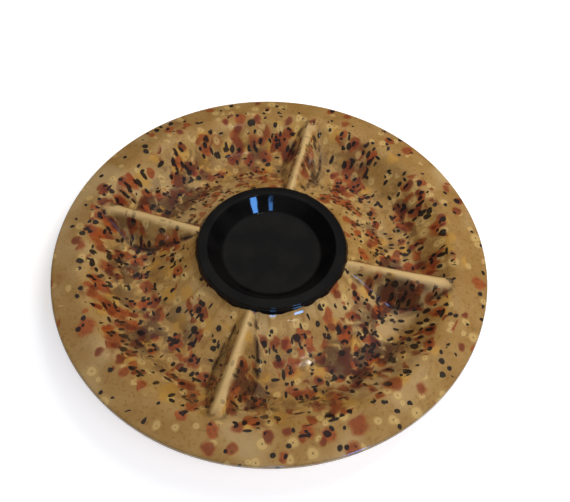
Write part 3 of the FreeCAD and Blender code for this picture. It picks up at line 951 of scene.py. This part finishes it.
# %% The speckled glaze
def speckled_glaze():
    """The tray's glaze: all the layers, one over the other."""
    material, tree = new_material("speckled_honey_glaze")
    at = Places(tree)
    coat = honey_coat(tree, at)
    spot_share = ramp(tree, at.crowd, 0.0, 1.0, 0.18, 0.75)
    coat, middles = pale_spots(tree, at, coat, PALE_SPOTS, spot_share)
    coat = stains(tree, at, coat)
    coat, blobs = red_chips(tree, at, coat)
    coat, last_middles = pale_spots(tree, at, coat, LAST_SPOTS, times(tree, at.busy, 0.5))
    coat, gather, drips = ran_glaze(tree, at, coat)
    middles = maths(tree, "MAXIMUM", middles, last_middles)
    dark = maths(tree, "MAXIMUM", times(tree, middles, 0.7), times(tree, drips, 0.9))
    dark = black_chips(tree, at, gather, dark)
    coat = mixed(tree, times(tree, dark, BLACK_COVER), coat, UMBER)
    coat, bare = edges(tree, at, coat)

    swell = noise(tree, at.point, 42.0, 2.0)
    relief = maths(tree, "MULTIPLY_ADD", blobs, 0.08, times(tree, swell, 0.6))
    relief = maths(tree, "ADD", relief, times(tree, dark, 0.12))
    glossy(tree, coat, bare, ramp(tree, at.mottle, 0.3, 0.7, 0.06, 0.13), relief,
           strength=0.5, depth=0.6 * MM, IOR=1.5, Coat_Weight=0.7, Coat_Roughness=0.03)
    print(f"{material.name}: {len(tree.nodes)} nodes")
    return material


# %% The black glaze
def black_glaze():
    """The bowl's glaze: black all over but for the foot, with a slight swell."""
    material, tree = new_material("black_liner_glaze")
    point = shader_node(tree, "ShaderNodeTexCoord").outputs["Object"]
    height = shader_node(tree, "ShaderNodeSeparateXYZ", Vector=point).outputs["Z"]
    swell = noise(tree, point, 48.0, 2.0)
    bare = ramp(tree, height, BOWL_FOOT + 0.5 * MM, BOWL_FOOT + 0.2 * MM)
    tint = mixed(tree, ramp(tree, swell, 0.35, 0.65), BLACK, BLACK_THIN)
    tint = mixed(tree, bare, tint, BARE_CLAY)
    glossy(tree, tint, bare, 0.06, swell, strength=0.35, depth=0.5 * MM, IOR=1.52)
    print(f"{material.name}: {len(tree.nodes)} nodes")
    return material


# %% Shape and coat the tray
values = {f"Rib {name}": float(RIB_SIZES[name]) for name in RIB_INPUTS}
values.update({f"Hollow {name}": float(HOLLOW_SIZES[name]) for name in RIB_INPUTS})
values["Glaze"] = speckled_glaze()
apply_tree(tray, tray_tree(), values)
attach(tray, "tray")
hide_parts("tray")

# %% [markdown]
# ## The dip bowl
#
# The bowl was turned on a wheel, so it is a section spun round the axis: a flat well, a wall
# that leans out, a rolled lip that hangs over the collar, and a low foot. It is glazed black all
# over except for the foot it was fired on.

# %% The dip bowl
WELL_DEPTH = 14.5 * MM
WELL_LEAN = math.tan(math.radians(38))
MOUTH_R = LIP_R - 7.84 * MM
WELL_FLOOR = LIP_TOP - WELL_DEPTH + 0.15 * MM
WELL_FLOOR_R = MOUTH_R - WELL_DEPTH * WELL_LEAN
SEAT = COLLAR_TOP + 0.3 * MM
BOWL_UNDER = BOWL_FOOT + 1.4 * MM
BOWL_UNDER_R = MOUTH_R - WELL_DEPTH * CUP_LEAN + 4 * MM * CUP_MITRE
BOWL_FOOT_R = BOWL_UNDER_R - 3 * MM
BOWL_FOOT_INNER_R = BOWL_UNDER_R - 7 * MM
BOWL_STEP = 0.8 * MM
BOWL_COLUMNS = 256
bowl_section = rounded([
    (0, WELL_FLOOR, 0),
    (WELL_FLOOR_R, WELL_FLOOR, 5 * MM),
    (MOUTH_R, LIP_TOP, 2.6 * MM),
    (LIP_R, LIP_TOP - 1.2 * MM, 1.1 * MM),
    (LIP_R, SEAT, 0.5 * MM),
    (CUP_R - 0.8 * MM, SEAT, 0.5 * MM),
    (BOWL_UNDER_R, BOWL_UNDER, 2 * MM),
    (BOWL_FOOT_R, BOWL_UNDER, 0.3 * MM),
    (BOWL_FOOT_R, BOWL_FOOT, 0.4 * MM),
    (BOWL_FOOT_INNER_R, BOWL_FOOT, 0.4 * MM),
    (BOWL_FOOT_INNER_R, BOWL_UNDER, 0.3 * MM),
    (0, BOWL_UNDER, 0),
], BOWL_STEP)
bowl = spin("bowl_turned", bowl_section,
            lambda radius: [2 * math.pi * k / BOWL_COLUMNS for k in range(BOWL_COLUMNS)])
bowl.data.materials.append(black_glaze())
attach(bowl, "bowl")
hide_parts("dip_bowl")

# %% [markdown]
# ## Floor, light and camera
#
# The tray stands on a white sheet. A large soft key light comes from the front right and a
# smaller one from behind, and neither is seen in the glaze. A glossy glaze is only seen in what
# it mirrors: two bluish windows low at the front give the lip and the well their bright marks,
# and a thin lamp puts a small spark on the cone. The backdrop is pale to the camera alone. To
# the glaze and the sheet it is a dim room, a little brighter overhead.

# %% The floor
FLOOR_SIZE = 8.0
GLOW_FROM, GLOW_TO = 0.22, 0.75  # metres from the middle
GLOW_NEAR, GLOW_FAR = 0.47, 0.88


def white_sheet():
    """A white sheet that glows a little, and more so far off, where the lights don't reach."""
    material = bpy.data.materials.new("white_sheet")
    material.use_nodes = True
    tree = material.node_tree
    shader = tree.nodes["Principled BSDF"]
    shader.inputs["Base Color"].default_value = SHEET
    shader.inputs["Roughness"].default_value = 0.9
    away = shader_node(tree, "ShaderNodeVectorMath", operation="LENGTH")
    tree.links.new(shader_node(tree, "ShaderNodeTexCoord").outputs["Object"], away.inputs[0])
    glow = ramp(tree, away.outputs["Value"], GLOW_FROM, GLOW_TO, GLOW_NEAR, GLOW_FAR)
    tree.links.new(glow, shader.inputs["Emission Color"])
    shader.inputs["Emission Strength"].default_value = 1.0
    return material


floor_mesh = bpy.data.meshes.new("floor")
edge = FLOOR_SIZE / 2
floor_mesh.from_pydata([(-edge, -edge, 0), (edge, -edge, 0), (edge, edge, 0), (-edge, edge, 0)],
                       [], [(0, 1, 2, 3)])
floor = bpy.data.objects.new("floor", floor_mesh)
bpy.context.scene.collection.objects.link(floor)
floor_mesh.materials.append(white_sheet())
print(f"floor: {FLOOR_SIZE} m square")


# %% The lights
# Each: azimuth and elevation in degrees, distance, width and height in metres, watts, colour.
LIGHTS = {
    "key": (52, 56, 1.6, 0.9, 0.9, 10.6, (1.0, 0.955, 0.90)),
    "window_left": (46, 22, 1.5, 0.23, 0.30, 3.9, (0.13, 0.40, 1.0)),
    "window_right": (17, 22, 1.5, 0.16, 0.30, 1.4, (0.11, 0.36, 0.92)),
    "skylight": (135, 65, 0.55, 0.3, 0.3, 1.9, (1.0, 0.98, 0.96)),
    "lamp": (42, 49.4, 1.5, 0.26, 0.010, 0.22, (1.0, 0.98, 0.95)),
}
NOT_MIRRORED = ("key", "skylight")
LIT_PLACE = Vector((0, 0, 0.02))


def direction(azimuth, elevation):
    """The way to a place on the sky, in degrees; azimuth 0 is the front, -Y."""
    turn, rise = math.radians(azimuth), math.radians(elevation)
    flat = math.cos(rise)
    return Vector((math.sin(turn) * flat, -math.cos(turn) * flat, math.sin(rise)))


def area_light(name, azimuth, elevation, distance, width, height, watts, tint):
    """A rectangular light that faces the tray and isn't seen by the camera."""
    away = direction(azimuth, elevation)
    light = bpy.data.lights.new(name, "AREA")
    light.shape = "RECTANGLE"
    light.size, light.size_y = width, height
    light.energy = watts
    light.color = tint
    holder = bpy.data.objects.new(name, light)
    holder.location = LIT_PLACE + away * distance
    holder.rotation_mode = "QUATERNION"
    holder.rotation_quaternion = away.to_track_quat("Z", "Y")
    holder.visible_camera = False
    holder.visible_glossy = name not in NOT_MIRRORED
    bpy.context.scene.collection.objects.link(holder)


for name, numbers in LIGHTS.items():
    area_light(name, *numbers)
print("lights", *LIGHTS)

# %% The room
# Strength is low for the light itself, rising overhead, and 1 for what the camera sees.
ROOM_LOW, ROOM_HIGH = 0.02, 0.19
world = bpy.data.worlds.new("studio")
bpy.context.scene.world = world
world.use_nodes = True
tree = world.node_tree
sky = tree.nodes["Background"]
sky.inputs["Color"].default_value = SKY
looking = shader_node(tree, "ShaderNodeTexCoord").outputs["Generated"]
height = shader_node(tree, "ShaderNodeSeparateXYZ", Vector=looking).outputs["Z"]
gloom = ramp(tree, height, 0.25, 0.9, ROOM_LOW, ROOM_HIGH)
seen = shader_node(tree, "ShaderNodeLightPath").outputs["Is Camera Ray"]
tree.links.new(maths(tree, "MAXIMUM", gloom, seen), sky.inputs["Strength"])
bpy.context.scene.view_settings.view_transform = "Standard"
print("room", ROOM_LOW, "to", ROOM_HIGH)

# %% The camera
# It looks down from the front, a little to the right and a little tilted.
AZIMUTH, ELEVATION = 11.6, 55.4
ROLL = math.radians(3.2)
AIM = Vector((11.3, -1.8, 33.1)) * MM
DISTANCE = 439.8 * MM
back = direction(AZIMUTH, ELEVATION)
lens = bpy.data.cameras.new("camera")
lens.lens = 35.03
lens.sensor_width = 36
camera = bpy.data.objects.new("camera", lens)
camera.rotation_mode = "QUATERNION"
tilt = Matrix.Rotation(ROLL, 3, "Z").to_quaternion()
camera.rotation_quaternion = back.to_track_quat("Z", "Y") @ tilt
camera.location = AIM + back * DISTANCE
bpy.context.scene.collection.objects.link(camera)
bpy.context.scene.camera = camera
print("camera", [round(c, 3) for c in camera.location])
